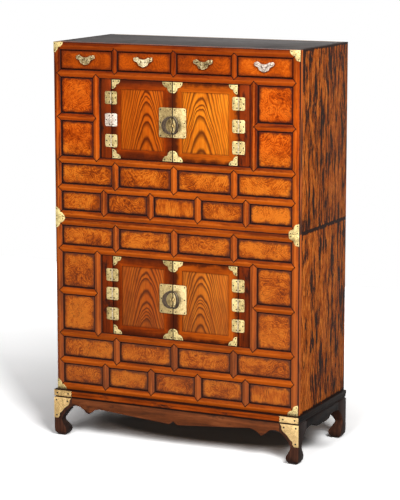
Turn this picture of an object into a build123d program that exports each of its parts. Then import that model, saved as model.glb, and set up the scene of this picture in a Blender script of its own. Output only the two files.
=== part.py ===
from build123d import *
from math import cos, pi
import os

# A chest of two stacked cases on a low stand. Millimetres: Z = 0 is the floor, X = 0 the
# middle of the front, and the front faces -Y.
os.makedirs("parts", exist_ok=True)

# Overall sizes
OVERALL_DEPTH = 408.0  # from the crescent pulls to the back boards
PULL_REACH = 15.3  # how far the crescent pulls stand in front of the lattice
CASE_WIDTH = 860.0
STAND_TOP = 157.0
LOWER_TOP = 731.0
UPPER_TOP = 1300.0
BACK = OVERALL_DEPTH / 2
FRONT = PULL_REACH - BACK  # ridge line of the front lattice

# Boards of the cases
BOARD = 18.0
SHELF = 15.0
BACK_BOARD = 10.0
THIN_BOARD = 12.0
PARTITION = 10.0
INSIDE = CASE_WIDTH / 2 - BOARD

# Ridged bars of the front lattice
BAR = 25.0
BAR_DEPTH = 24.0
EAVE = 4.0  # the edges of a bar lie this far behind its ridge
DRAWER_BAR = 20.0
POST_X = CASE_WIDTH / 2 - BAR / 2
STILE_X = 276.2
FOUR = (-208.75, 0.0, 208.75)
FIVE = (-250.5, -83.5, 83.5, 250.5)
DOOR_BAY = (-STILE_X, STILE_X)

# Raised panels
TONGUE = 4.0  # how far a panel enters the grooves of the bars
TONGUE_THICK = 6.0
GROOVE = 9.0  # tongue behind the ridge line
MARGIN = 5.0
FIELD_BEVEL = 2.5

# Doors
DOOR_FRONT = FRONT + 6.0
DOOR_THICK = 18.0
HINGE_X = 223.5
HINGE_GAP = 1.0
SEAM_X = -5.0
SEAM_GAP = 0.75  # each side of the seam
DOOR_PLAY = 1.5  # above and below
HINGE_STILE = 33.0
MEETING_STILE = 31.0
DOOR_RAIL = 29.0
DOOR_PANEL_BACK = 2.0
DOOR_PANEL_THICK = 8.0
DOOR_TONGUE = 5.0
EDGE_BEVEL = 3.0
STOP_LIP = 8.0

# Brass
BRASS = 1.2
LEAF_WIDTH = 21.5
LEAF_HEIGHT = 41.0
LEAF_CORNER = 3.5
KNUCKLE = 2.2
HINGE_PIN = 1.1
HINGE_BORE = 1.15
LOCK_WIDTH = 47.5
LOCK_HEIGHT = 94.0
LOCK_THICK = 1.5
CASE_CORNER = 35.0
HINGE_CORNER = 29.5
SEAM_CORNER = 35.0
PADLOCK_RADIUS = 3.0
PADLOCK_EYE = 6.0
LUG_THICK = 3.0
LUG_GAP = 3.6  # from the end of a pull to the middle of its lug
LUG_SINK = 0.5  # how far a lug and an eye run into their plate
PADLOCK_X = 4.0
PULL_PIVOT_X = 5.0  # crescent pivot from the seam
PULL_PIVOT_Y = DOOR_FRONT - LOCK_THICK - 4.0
CRESCENT = 29.0
CRESCENT_MIDDLE = 14.0
CRESCENT_END = 5.0
CRESCENT_THICK = 3.0
CRESCENT_AT = 30.0  # degrees that a pull stands off its plate
PULL_PIN = 1.5
PULL_PIN_LENGTH = 7.0
PULL_BORE = 1.57

# Drawers and their bails
DRAWER_GAP = 1.0
DRAWER_MARGIN = 2.5
DRAWER_BASE = 12.0
DRAWER_LENGTH = 340.0
DRAWER_SIDE = 8.0
DRAWER_WALL = 48.0
DRAWER_BOTTOM = 6.0
RUN_GAP = 0.3
BAIL_Z = 1254.4
BAIL_Y = FRONT - 3.0
POST_SPACING = 51.0
ROSETTE = 6.4
POST_RADIUS = 2.8
BAIL_PIN = 1.2
BAIL_BORE = 1.27
BAIL_THICK = 2.0

# Stand
STAND_HALF = 438.0
STAND_FRONT = FRONT - 8.0
STAND_MIDDLE = (STAND_FRONT + BACK) / 2
STAND_SIDE = (BACK - STAND_FRONT) / 2
FRAME_UNDER = 134.0
FRAME_RAIL = 40.0
MOULD_EDGE = 146.0
MOULD_STEP = 1.2
COVE_TOP = 140.0
COVE = 4.0
APRON = 22.0
LEG_WING = 66.0
LEG_BLOCK = 46.0
KNEE_Z = 103.4  # underside of a leg where it meets the apron
SCRATCH_LINE = 3.0

CASES = {
    "lower": {
        "bottom": STAND_TOP,
        "top": LOWER_TOP,
        "inner": (258.0, 348.0, 630.0),
        "mid": 490.0,
        "hinges": (427.0, 493.3, 555.0),
        "lock": 493.0,
        "crescent": 492.0,
    },
    "upper": {
        "bottom": LOWER_TOP,
        "top": UPPER_TOP,
        "inner": (830.0, 921.0, 1200.0),
        "mid": 1060.0,
        "hinges": (990.7, 1057.5, 1128.0),
        "lock": 1058.0,
        "crescent": 1050.0,
    },
}


def save(name, *shapes):
    export_step(Compound(children=list(shapes)), f"parts/{name}.step")


def block(x0, x1, y0, y1, z0, z1):
    place = Pos((x0 + x1) / 2, (y0 + y1) / 2, (z0 + z1) / 2)
    return place * Box(abs(x1 - x0), abs(y1 - y0), abs(z1 - z0))


def rod(radius, length, sides=6):
    """A small pin, drawn along Z with a few flats. Its flats lie inside the radius."""
    return Pos(0, 0, -length / 2) * extrude(RegularPolygon(radius, sides), length)


def hole(radius, length, sides=6):
    """A hole that clears a rod of this radius all round."""
    return rod(radius / cos(pi / sides), length, sides)


def flats(start, middle, end, count):
    """Points of an arc that is cut in a few flats, from its start up to the last flat."""
    arc = ThreePointArc(start, middle, end)
    points = [arc @ (index / count) for index in range(count)]
    return [(point.X, point.Y) for point in points]


def sheet(outline, y, thick):
    """A flat piece cut to an outline in X and Z, its front at depth y."""
    face = Plane.XZ * make_face(outline)
    return Pos(0, y, 0) * extrude(face, -thick)


# ---------------------------------------------------------------- front lattice


def bar_side(low, high, half, side, notches, mitre):
    """One long side of a bar: its corners and the notches that take other bars' points."""
    inset = half if mitre == 0 else 0 if mitre == side else 2 * half
    points = [(low + inset, side * half)]
    for at, width in sorted(notches):
        points += [
            (at - width / 2, side * half),
            (at, side * (half - width / 2)),
            (at + width / 2, side * half),
        ]
    return points + [(high - inset, side * half)]


def bar(axis, ridge, low, high, width=BAR, plus=(), minus=(), mitre=0):
    """A ridged bar along X or Z. Its ends are points, or mitres that run out to one side."""
    half = width / 2
    crest = FRONT + EAVE * (1 - width / BAR)
    eave = FRONT + EAVE
    back = FRONT + BAR_DEPTH
    gable = Polyline(
        (-half, eave), (0, crest), (half, eave), (half, back), (-half, back), close=True
    )
    profile = make_face(gable)
    if axis == "X":
        place = Plane((high, 0, ridge), x_dir=(0, 0, 1), z_dir=(-1, 0, 0))
    else:
        place = Plane((ridge, 0, low), x_dir=(1, 0, 0), z_dir=(0, 0, 1))
    prism = extrude(place * profile, high - low)
    over = bar_side(low, high, half, 1, plus, mitre)
    under = bar_side(low, high, half, -1, minus, mitre)[::-1]
    if mitre == 0:
        over = [(low, 0), *over, (high, 0)]
    outline = [(s, ridge + t) if axis == "X" else (ridge + t, s) for s, t in over + under]
    return prism & sheet(Polyline(*outline, close=True), FRONT - 1, BAR_DEPTH + 2)


def tongue_of(x0, x1, z0, z1):
    y = FRONT + GROOVE
    return block(x0 - TONGUE, x1 + TONGUE, y, y + TONGUE_THICK, z0 - TONGUE, z1 + TONGUE)


def raised_field(x0, x1, z0, z1, margin=MARGIN):
    field = block(
        x0 + margin, x1 - margin, FRONT + EAVE, FRONT + GROOVE, z0 + margin, z1 - margin
    )
    return chamfer(field.faces().sort_by(Axis.Y)[0].edges(), FIELD_BEVEL)


def row_cells(dividers, width, low, high):
    """Openings of one row of the lattice, between the posts and its dividers."""
    edges = [-POST_X + BAR / 2]
    for x in dividers:
        edges += [x - width / 2, x + width / 2]
    edges.append(POST_X - BAR / 2)
    return [
        (x0, x1, low + BAR / 2, high - BAR / 2) for x0, x1 in zip(edges[::2], edges[1::2])
    ]


def corner_outline(x, z, side, up, size):
    """A two-lobed corner plate with its square corner at (x, z)."""

    def at(u, v):
        return (x + side * u * size, z + up * v * size)

    notch = at(0.51, 0.51)
    return Polyline(
        *flats(at(1, 0), at(0.87, 0.35), notch, 3),
        *flats(notch, at(0.35, 0.87), at(0, 1), 3),
        at(0, 1),
        at(0, 0),
        close=True,
    )


def build_case(name, case):
    bottom, top, mid = case["bottom"], case["top"], case["mid"]
    rails_z = (bottom + BAR / 2, *case["inner"], top - BAR / 2)
    sill, head = rails_z[2], rails_z[3]
    last = DRAWER_BAR if name == "upper" else BAR
    rows = ((FIVE, BAR), (FOUR, BAR), (DOOR_BAY, BAR), (FOUR, last))

    notches = [[(x, width) for x in xs] for xs, width in rows]
    edge = CASE_WIDTH / 2
    rails = [bar("X", rails_z[0], -edge, edge, plus=notches[0], mitre=-1)]
    for i in (1, 2, 3):
        rails.append(
            bar("X", rails_z[i], -POST_X, POST_X, plus=notches[i], minus=notches[i - 1])
        )
    rails.append(bar("X", rails_z[4], -edge, edge, minus=notches[3], mitre=1))
    joints = [(z, BAR) for z in (*case["inner"], mid)]
    posts = [
        bar("Z", -POST_X, bottom, top, plus=joints, mitre=-1),
        bar("Z", POST_X, bottom, top, minus=joints, mitre=1),
    ]
    for x0, x1 in ((-POST_X, -STILE_X), (STILE_X, POST_X)):
        rails.append(bar("X", mid, x0, x1))
    stiles = [
        bar("Z", -STILE_X, sill, head, minus=[(mid, BAR)]),
        bar("Z", STILE_X, sill, head, plus=[(mid, BAR)]),
    ]
    for i in (0, 1, 3):
        xs, width = rows[i]
        short = (BAR - width) / 2
        for x in xs:
            low, high = rails_z[i] + short, rails_z[i + 1] - short
            stiles.append(bar("Z", x, low, high, width=width))

    cells = []
    for i in (0, 1) if name == "upper" else (0, 1, 3):
        cells += row_cells(*rows[i], rails_z[i], rails_z[i + 1])
    inner, outer = STILE_X + BAR / 2, POST_X - BAR / 2
    for z0, z1 in ((sill + BAR / 2, mid - BAR / 2), (mid + BAR / 2, head - BAR / 2)):
        cells += [(-outer, -inner, z0, z1), (inner, outer, z0, z1)]
    tongues = [tongue_of(*cell) for cell in cells]
    panels = [tongue + raised_field(*cell) for tongue, cell in zip(tongues, cells)]

    # Door lining: jambs tongued into the stiles, and the strips that stop the doors.
    open_low, open_high = sill + BAR / 2, head - BAR / 2
    jambs = []
    for side in (-1, 1):
        near = side * (HINGE_X + HINGE_GAP)
        stile = side * (STILE_X - BAR / 2)
        body = block(near, stile, FRONT + GROOVE, FRONT + BAR_DEPTH, open_low, open_high)
        face = block(
            near, stile - side * MARGIN, DOOR_FRONT, FRONT + GROOVE, open_low, open_high
        )
        tongue = block(
            stile, stile + side * TONGUE, FRONT + GROOVE, FRONT + GROOVE + TONGUE_THICK,
            open_low, open_high,
        )
        tongues.append(tongue)
        jamb = body + face
        front_edges = jamb.edges().filter_by(Axis.Z).group_by(Axis.Y)[0].sort_by(Axis.X)
        jamb = chamfer(front_edges[0 if side > 0 else -1], EDGE_BEVEL - HINGE_GAP)
        jambs.append(jamb + tongue)
    stop_y = DOOR_FRONT + DOOR_THICK
    for z0, z1 in ((sill, open_low + STOP_LIP), (open_high - STOP_LIP, head)):
        reach = HINGE_X + HINGE_GAP
        jambs.append(block(-reach, reach, stop_y, stop_y + THIN_BOARD, z0, z1))

    rails = [rail - tongues for rail in rails]
    posts = [post - tongues for post in posts]
    stiles = [stile - tongues for stile in stiles]

    # Boards behind the lattice
    board_y = FRONT + BAR_DEPTH
    inner_back = BACK - BACK_BOARD
    sides = [block(s * INSIDE, s * edge, board_y, BACK, bottom, top) for s in (-1, 1)]
    save(f"{name}_sides", *sides)
    save(f"{name}_back", block(-INSIDE, INSIDE, inner_back, BACK, bottom, top))
    save(
        f"{name}_bottom",
        block(-INSIDE, INSIDE, board_y, inner_back, bottom, bottom + SHELF),
    )
    save(f"{name}_top", block(-INSIDE, INSIDE, board_y, inner_back, top - SHELF, top))
    save(f"{name}_posts", *posts)
    save(f"{name}_rails", *rails)
    save(f"{name}_stiles", *stiles)
    save(f"{name}_panels", *panels)
    save(f"{name}_jambs", *jambs)
    if name == "upper":
        shelf_z = head + BAR / 2
        save(
            "dust_board",
            block(-INSIDE, INSIDE, board_y, inner_back, shelf_z - THIN_BOARD, shelf_z),
        )
        half = PARTITION / 2
        walls = [
            block(x - half, x + half, board_y, inner_back, shelf_z, top - SHELF)
            for x in FOUR
        ]
        save("drawer_partitions", *walls)

    # Corner plates, bent over the ridges of the bars that they hold together
    plates = []
    for side, post in ((-1, posts[0]), (1, posts[1])):
        for z, up, rail in ((bottom, 1, rails[0]), (top, -1, rails[4])):
            outline = corner_outline(side * edge, z, -side, up, CASE_CORNER)
            under = sheet(outline, FRONT - 2 * BRASS, BAR_DEPTH)
            ridges = (post & under) + (rail & under)
            skin = Pos(0, -BRASS, 0) * ridges - ridges
            plates.append(skin)
    save(f"{name}_corner_plates", *plates)


for case_name, case_sizes in CASES.items():
    build_case(case_name, case_sizes)


# ---------------------------------------------------------------- hinges, doors, pulls


def hinge_leaf(x, z, side, fixed):
    """A rounded leaf with its share of the knuckle. The fixed leaf also carries the pin."""
    web = KNUCKLE + 0.6
    y = DOOR_FRONT - BRASS
    z0, z1 = z - LEAF_HEIGHT / 2, z + LEAF_HEIGHT / 2
    leaf = block(x + side * web, x + side * LEAF_WIDTH, y, DOOR_FRONT, z0, z1)
    far = leaf.edges().filter_by(Axis.Y).group_by(Axis.X)[-1 if side > 0 else 0]
    leaf = chamfer(far, LEAF_CORNER)
    third = LEAF_HEIGHT / 3
    axis_y = DOOR_FRONT - KNUCKLE
    for at in (z - third, z + third) if fixed else (z,):
        height = third - 2 * RUN_GAP
        leaf += block(x, x + side * web, y, DOOR_FRONT, at - height / 2, at + height / 2)
        leaf += Pos(x, axis_y, at) * rod(KNUCKLE, height, 8)
    if fixed:
        return leaf + Pos(x, axis_y, z) * rod(HINGE_PIN, 2 * third)
    return leaf - Pos(x, axis_y, z) * hole(HINGE_BORE, LEAF_HEIGHT)


def crescent_pull(x, z, side):
    """A crescent on a vertical pivot, drawn flat on its plate and then swung outwards."""
    inner = CRESCENT - CRESCENT_END
    waist = CRESCENT - CRESCENT_MIDDLE
    outline = Polyline(
        *flats((0, CRESCENT), (side * CRESCENT, 0), (0, -CRESCENT), 12),
        (0, -CRESCENT),
        *flats((0, -inner), (side * waist, 0), (0, inner), 8),
        (0, inner),
        close=True,
    )
    band = sheet(outline, -CRESCENT_THICK / 2, CRESCENT_THICK)
    for up in (-1, 1):
        end = up * (CRESCENT - CRESCENT_END / 2)
        band += Pos(0, 0, end) * rod(CRESCENT_END / 2, CRESCENT_END)
        band += Pos(0, 0, end - up * CRESCENT_END) * rod(PULL_PIN, PULL_PIN_LENGTH)
    return Pos(x, PULL_PIVOT_Y, z) * Rot(0, 0, -side * CRESCENT_AT) * band


def lock_plate(case, side):
    """Half of a lock plate, with two pivot lugs for the pull and an eye for the padlock."""
    x = SEAM_X + side * SEAM_GAP
    z = case["lock"]
    y = DOOR_FRONT - LOCK_THICK
    plate = block(
        x, SEAM_X + side * LOCK_WIDTH, y, DOOR_FRONT, z - LOCK_HEIGHT / 2, z + LOCK_HEIGHT / 2
    )
    far = plate.edges().filter_by(Axis.Y).group_by(Axis.X)[-1 if side > 0 else 0]
    plate = chamfer(far, LEAF_CORNER)
    pivot = SEAM_X + side * PULL_PIVOT_X
    lug_half = CRESCENT_END / 2
    for up in (-1, 1):
        lug_z = case["crescent"] + up * (CRESCENT - CRESCENT_END - LUG_GAP)
        lug = block(
            pivot - lug_half, pivot + lug_half, PULL_PIVOT_Y, y + LUG_SINK,
            lug_z - LUG_THICK / 2, lug_z + LUG_THICK / 2,
        )
        lug += Pos(pivot, PULL_PIVOT_Y, lug_z) * rod(lug_half, LUG_THICK, 8)
        plate += lug - Pos(pivot, PULL_PIVOT_Y, lug_z) * hole(PULL_BORE, LUG_THICK + 1)
    eye_x = SEAM_X + side * PADLOCK_X
    bore = hole(PADLOCK_RADIUS, LUG_THICK + 1, 12)
    eye = Rot(0, 90, 0) * (rod(PADLOCK_EYE, LUG_THICK, 12) - bore)
    eye = Pos(eye_x, y - PADLOCK_RADIUS, case["crescent"]) * eye
    front = block(-HINGE_X, HINGE_X, y + LUG_SINK, -BACK, 0, UPPER_TOP)
    return plate + (eye & front)


def build_door(name, case, side):
    sill, head = case["inner"][1] + BAR / 2, case["inner"][2] - BAR / 2
    hung = side * (HINGE_X - HINGE_GAP)
    free = SEAM_X + side * SEAM_GAP
    z0, z1 = sill + DOOR_PLAY, head - DOOR_PLAY
    hung_in, free_in = hung - side * HINGE_STILE, free + side * MEETING_STILE
    z0_in, z1_in = z0 + DOOR_RAIL, z1 - DOOR_RAIL
    members = []
    for near, near_in in ((hung, hung_in), (free, free_in)):
        outline = Polyline(
            (near, z0), (near_in, z0_in), (near_in, z1_in), (near, z1), close=True
        )
        members.append(sheet(outline, DOOR_FRONT, DOOR_THICK))
    for near, near_in in ((z0, z0_in), (z1, z1_in)):
        outline = Polyline(
            (hung, near), (hung_in, near_in), (free_in, near_in), (free, near), close=True
        )
        members.append(sheet(outline, DOOR_FRONT, DOOR_THICK))
    front_edges = members[0].edges().filter_by(Axis.Z).group_by(Axis.Y)[0].sort_by(Axis.X)
    members[0] = chamfer(front_edges[-1 if side > 0 else 0], EDGE_BEVEL)
    panel_y = DOOR_FRONT + DOOR_PANEL_BACK
    low_x, high_x = sorted((hung_in, free_in))
    panel = block(
        low_x - DOOR_TONGUE, high_x + DOOR_TONGUE, panel_y, panel_y + DOOR_PANEL_THICK,
        z0_in - DOOR_TONGUE, z1_in + DOOR_TONGUE,
    )
    save(f"{name}_frame", *[member - panel for member in members])
    save(f"{name}_panel", panel)

    fittings = [lock_plate(case, side)]
    for z, up in ((z0, 1), (z1, -1)):
        hinge_corner = corner_outline(hung - side * EDGE_BEVEL, z, -side, up, HINGE_CORNER)
        seam_corner = corner_outline(free, z, side, up, SEAM_CORNER)
        fittings.append(sheet(hinge_corner, DOOR_FRONT - BRASS, BRASS))
        fittings.append(sheet(seam_corner, DOOR_FRONT - BRASS, BRASS))
    for z in case["hinges"]:
        fittings.append(hinge_leaf(side * HINGE_X, z, -side, fixed=False))
    save(f"{name}_fittings", *fittings)
    pivot = SEAM_X + side * PULL_PIVOT_X
    save(f"{name}_pull", crescent_pull(pivot, case["crescent"], side))


for case_name, case_sizes in CASES.items():
    build_door(f"{case_name}_left_door", case_sizes, -1)
    build_door(f"{case_name}_right_door", case_sizes, 1)
    fixed_leaves = [
        hinge_leaf(side * HINGE_X, z, side, fixed=True)
        for side in (-1, 1)
        for z in case_sizes["hinges"]
    ]
    save(f"{case_name}_hinge_leaves", *fixed_leaves)


# ---------------------------------------------------------------- drawers


def bat_bail(x):
    """A bat-shaped plate that hangs from pins through the eyes of its two posts."""
    wing = POST_SPACING / 2
    slot = POST_RADIUS + 0.6
    shoulder = [(4, -1), (9, 0), (13, 2), (17, 5)]
    notch = [(wing - slot, 5), (wing - slot, -4), (wing + slot, -4), (wing + slot, 5)]
    lobe = [(31.5, 4), (32.7, 1), (32.2, -3), (30.4, -6), (26.5, -7.5), (22, -9), (18.4, -13)]
    body = [(16.5, -18), (13, -20.5), (9, -21.5), (5, -24), (0, -24.7)]
    half = shoulder + notch + lobe + body
    mirrored = [(-u, v) for u, v in half[-2::-1]]
    plate = sheet(Polyline(*half, *mirrored, close=True), -BAIL_THICK / 2, BAIL_THICK)
    for side in (-1, 1):
        slit = Pos(side * 7.5, 0, -9.5) * Rot(0, side * 38, 0) * Box(2.6, 3, 7)
        plate -= slit
        plate += Pos(side * wing, 0, 0) * Rot(0, 90, 0) * rod(BAIL_PIN, 2 * slot + 1)
    return Pos(x, BAIL_Y, BAIL_Z) * plate


def bail_post(x):
    """A rosette and an eyed post with a domed head."""
    face = FRONT + EAVE
    post = Pos(x, face - 0.75, BAIL_Z) * Rot(90, 0, 0) * rod(ROSETTE, 1.5, 12)
    tip = BAIL_Y - POST_RADIUS
    length = face - tip
    shank = Pos(x, (face + tip) / 2, BAIL_Z) * Rot(90, 0, 0) * rod(POST_RADIUS, length)
    shank = chamfer(shank.faces().sort_by(Axis.Y)[0].edges(), POST_RADIUS / 4)
    eye = Pos(x, BAIL_Y, BAIL_Z) * Rot(0, 90, 0) * hole(BAIL_BORE, 3 * POST_RADIUS)
    return post + shank - eye


bays = row_cells(FOUR, DRAWER_BAR, CASES["upper"]["inner"][2], UPPER_TOP - BAR / 2)
for number, (x0, x1, z0, z1) in enumerate(bays, start=1):
    left, right = x0 + DRAWER_GAP, x1 - DRAWER_GAP
    base_y = FRONT + GROOVE
    box_y = base_y + DRAWER_BASE
    end_y = base_y + DRAWER_LENGTH
    base = block(left, right, base_y, box_y, z0 + DRAWER_GAP, z1 - DRAWER_GAP)
    save(f"drawer_{number}_front", base + raised_field(x0, x1, z0, z1, DRAWER_MARGIN))
    floor = z0 + RUN_GAP
    wall = floor + DRAWER_WALL
    left, right = left + 1, right - 1
    save(
        f"drawer_{number}_box",
        block(left, left + DRAWER_SIDE, box_y, end_y, floor, wall),
        block(right - DRAWER_SIDE, right, box_y, end_y, floor, wall),
        block(
            left + DRAWER_SIDE, right - DRAWER_SIDE, end_y - DRAWER_SIDE, end_y, floor, wall
        ),
        block(
            left + DRAWER_SIDE, right - DRAWER_SIDE, box_y, end_y - DRAWER_SIDE,
            floor, floor + DRAWER_BOTTOM,
        ),
    )
    middle = (x0 + x1) / 2
    posts_at = (middle - POST_SPACING / 2, middle + POST_SPACING / 2)
    save(f"drawer_{number}_posts", *[bail_post(x) for x in posts_at])
    save(f"drawer_{number}_pull", bat_bail(middle))


# ---------------------------------------------------------------- stand


def frame_rail(length):
    """Moulded rail of the top frame, drawn with its outer face at y = 0."""
    profile = make_face(
        Polyline((0, MOULD_EDGE), (0, STAND_TOP), (FRAME_RAIL, STAND_TOP))
        + Polyline((FRAME_RAIL, STAND_TOP), (FRAME_RAIL, FRAME_UNDER), (COVE, FRAME_UNDER))
        + ThreePointArc((COVE, FRAME_UNDER), (2, 136), (MOULD_STEP, COVE_TOP))
        + Polyline((MOULD_STEP, COVE_TOP), (MOULD_STEP, MOULD_EDGE - 1), (0, MOULD_EDGE))
    )
    prism = Pos(-length / 2, 0, 0) * extrude(Plane.YZ * profile, length)
    ends = Polyline(
        (-length / 2, 0), (length / 2, 0),
        (length / 2 - FRAME_RAIL, FRAME_RAIL), (FRAME_RAIL - length / 2, FRAME_RAIL),
        close=True,
    )
    return prism & extrude(make_face(ends), STAND_TOP + 1)


def apron(half_length, right_edge):
    """An apron with its outer face at y = 0; right_edge is the right half of its lower edge."""
    left_edge = [(-x, z) for x, z in reversed(right_edge) if x > 0]
    top = [(-half_length, FRAME_UNDER), (half_length, FRAME_UNDER)]
    board = sheet(Polyline(*right_edge, *left_edge, *top, close=True), 0, APRON)
    line = block(
        -half_length, half_length, 0, SCRATCH_LINE, FRAME_UNDER - SCRATCH_LINE, FRAME_UNDER
    )
    return board - line


def front_scallops():
    return [
        *flats((STAND_HALF - LEG_WING, KNEE_Z), (350, 108), (327, 97), 3),
        *flats((327, 97), (317, 87), (309, 84), 2),
        *flats((309, 84), (292, 97.5), (270, 104.5), 3),
        (270, 104.5),
        *flats((16, 84.5), (7, 89), (0, 97.5), 2),
        (0, 97.5),
    ]


def side_scallops():
    return [
        *flats((STAND_SIDE - LEG_WING, KNEE_Z), (100, 108.5), (64, 104), 3),
        *flats((64, 104), (57, 97), (46, 94), 2),
        (46, 94),
        *flats((10, 92.5), (4, 95), (0, 99.5), 2),
        (0, 99.5),
    ]


def leg():
    """A leg with its outer corner at the origin, sawn to one curve on both faces."""
    outline = Polyline(
        (0, FRAME_UNDER),
        *flats((0, 25), (5, 7), (20, 0), 3),
        (20, 0),
        *flats((30, 0), (41.5, 9), (43, 28), 4),
        (43, 28),
        *flats((30.5, 48), (28, 55.5), (32, 66), 3),
        *flats((32, 66), (45, 86), (LEG_WING, KNEE_Z), 3),
        (LEG_WING, KNEE_Z),
        (LEG_WING, FRAME_UNDER),
        close=True,
    )
    front = sheet(outline, 0, LEG_WING)
    flank = mirror(front, Plane((0, 0, 0), z_dir=(1, -1, 0)))
    core = front & flank & block(0, LEG_BLOCK, 0, LEG_BLOCK, 0, FRAME_UNDER)
    wings = front & block(LEG_BLOCK, LEG_WING, 0, APRON, 0, FRAME_UNDER)
    wings += flank & block(0, APRON, LEG_BLOCK, LEG_WING, 0, FRAME_UNDER)
    line = FRAME_UNDER - SCRATCH_LINE
    shape = core + wings
    shape -= block(0, LEG_WING, 0, SCRATCH_LINE, line, FRAME_UNDER)
    return shape - block(0, SCRATCH_LINE, 0, LEG_WING, line, FRAME_UNDER)


def around(front_piece, side_piece, back_piece):
    """The same kind of piece on the four sides of the stand."""
    return [
        Pos(0, STAND_FRONT, 0) * front_piece,
        Pos(0, BACK, 0) * Rot(0, 0, 180) * back_piece,
        Pos(STAND_HALF, STAND_MIDDLE, 0) * Rot(0, 0, 90) * side_piece,
        Pos(-STAND_HALF, STAND_MIDDLE, 0) * Rot(0, 0, -90) * side_piece,
    ]


long_rail = frame_rail(2 * STAND_HALF)
save("stand_top_frame", *around(long_rail, frame_rail(2 * STAND_SIDE), long_rail))
front_half = STAND_HALF - LEG_WING
side_half = STAND_SIDE - LEG_WING
front_apron = apron(front_half, front_scallops())
side_apron = apron(side_half, side_scallops())
back_apron = apron(front_half, [(front_half, KNEE_Z)])
save("stand_aprons", *around(front_apron, side_apron, back_apron))

corner_leg = leg()
front_left = Pos(-STAND_HALF, STAND_FRONT, 0) * corner_leg
back_left = Pos(-STAND_HALF, BACK, 0) * mirror(corner_leg, Plane.XZ)
left_legs = [front_left, back_left]
save("stand_legs", *left_legs, *[mirror(one, Plane.YZ) for one in left_legs])


def stand_plates(side):
    """The fishtailed band on the moulding and the scalloped plate on the knee."""

    def points(*pairs):
        return [(side * (STAND_HALF - u), z) for u, z in pairs]

    band = Polyline(
        *points((1, 136), (67, 136), (63.5, 140), (66, 145.5), (63.5, 151), (67, 155), (1, 155)),
        close=True,
    )
    knee = Polyline(
        *points((63, 131), (0, 131), (0, 60.5)),
        *flats(*points((15, 60.5), (19.5, 66), (20.6, 77)), 2),
        *flats(*points((20.6, 77), (26.5, 81), (33, 88)), 2),
        *flats(*points((33, 88), (37.5, 94.5), (46, 101.5)), 2),
        *flats(*points((46, 101.5), (52.5, 106), (57.7, 113.5)), 2),
        *points((57.7, 113.5), (58.5, 123)),
        close=True,
    )
    y = STAND_FRONT - BRASS
    return [sheet(band, y, BRASS), sheet(knee, y, BRASS)]


save("stand_plates", *stand_plates(-1), *stand_plates(1))
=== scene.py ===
import math
import random

import bmesh
import bpy
from mathutils import Matrix, Vector, noise


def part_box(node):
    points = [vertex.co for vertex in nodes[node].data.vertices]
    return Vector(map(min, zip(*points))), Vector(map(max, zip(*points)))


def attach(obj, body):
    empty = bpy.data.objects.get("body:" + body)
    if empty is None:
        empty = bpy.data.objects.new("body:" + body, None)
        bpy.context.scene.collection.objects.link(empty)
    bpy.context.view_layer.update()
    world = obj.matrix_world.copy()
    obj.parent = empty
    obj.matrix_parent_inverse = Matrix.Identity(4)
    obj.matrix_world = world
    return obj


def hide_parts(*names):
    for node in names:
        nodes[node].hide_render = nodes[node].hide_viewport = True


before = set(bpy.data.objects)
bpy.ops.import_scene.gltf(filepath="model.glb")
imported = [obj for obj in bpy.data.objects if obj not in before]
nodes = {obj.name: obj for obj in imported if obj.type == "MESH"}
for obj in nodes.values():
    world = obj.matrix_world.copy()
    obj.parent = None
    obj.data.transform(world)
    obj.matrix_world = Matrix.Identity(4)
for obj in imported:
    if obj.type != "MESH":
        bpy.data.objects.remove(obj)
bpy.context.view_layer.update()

MM = 0.001
FRONT = -188.7 * MM  # ridge line of the lattice
DOOR_FRONT = FRONT + 6 * MM
EAVE = 4 * MM  # how far a bar falls from its ridge to its edges
BAR_HALF = 12.5 * MM  # half the width of a full bar
BAR_BACK = 24 * MM
CASE_HALF, CASE_TOP = 430 * MM, 1300 * MM
BOARD_ENDS = (157 * MM, 731 * MM, CASE_TOP)  # levels where the side boards end
REDDER = (0.93, 1.0)  # between these levels the front turns redder, in metres
MARGIN = 5 * MM  # flat strip round a panel's raised field
TONGUE = 4 * MM  # how far a panel reaches into its grooves
TONGUE_FACE = FRONT + 9 * MM
DRAWER_EDGE = 1.5 * MM  # base of a drawer front beside its raised field
BRASS = 1.2 * MM
LOCK_THICK = 1.5 * MM
HINGE_AXIS = 223.5 * MM
HINGE_HEIGHT = 41 * MM
SILVER_HINGE = 1057.5 * MM  # the one hinge that was replaced in a whiter metal
SEAM = -5 * MM
SEAM_SHADE = 1.9 * MM  # how far the painted shade of the doors' seam reaches onto the brass
LOCK_HEIGHT = 94 * MM
NAIL, STAND_NAIL = 2.3 * MM, 3 * MM  # radii of the nail heads
NAIL_HEIGHT = 0.5 * MM
GLOSS = 0.045  # specular level of the oiled wood


# ---------------------------------------- colours and shader nodes


def srgb(r, g, b):
    def linear(c):
        c /= 255
        return c / 12.92 if c <= 0.04045 else ((c + 0.055) / 1.055) ** 2.4

    return (linear(r), linear(g), linear(b), 1.0)


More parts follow.
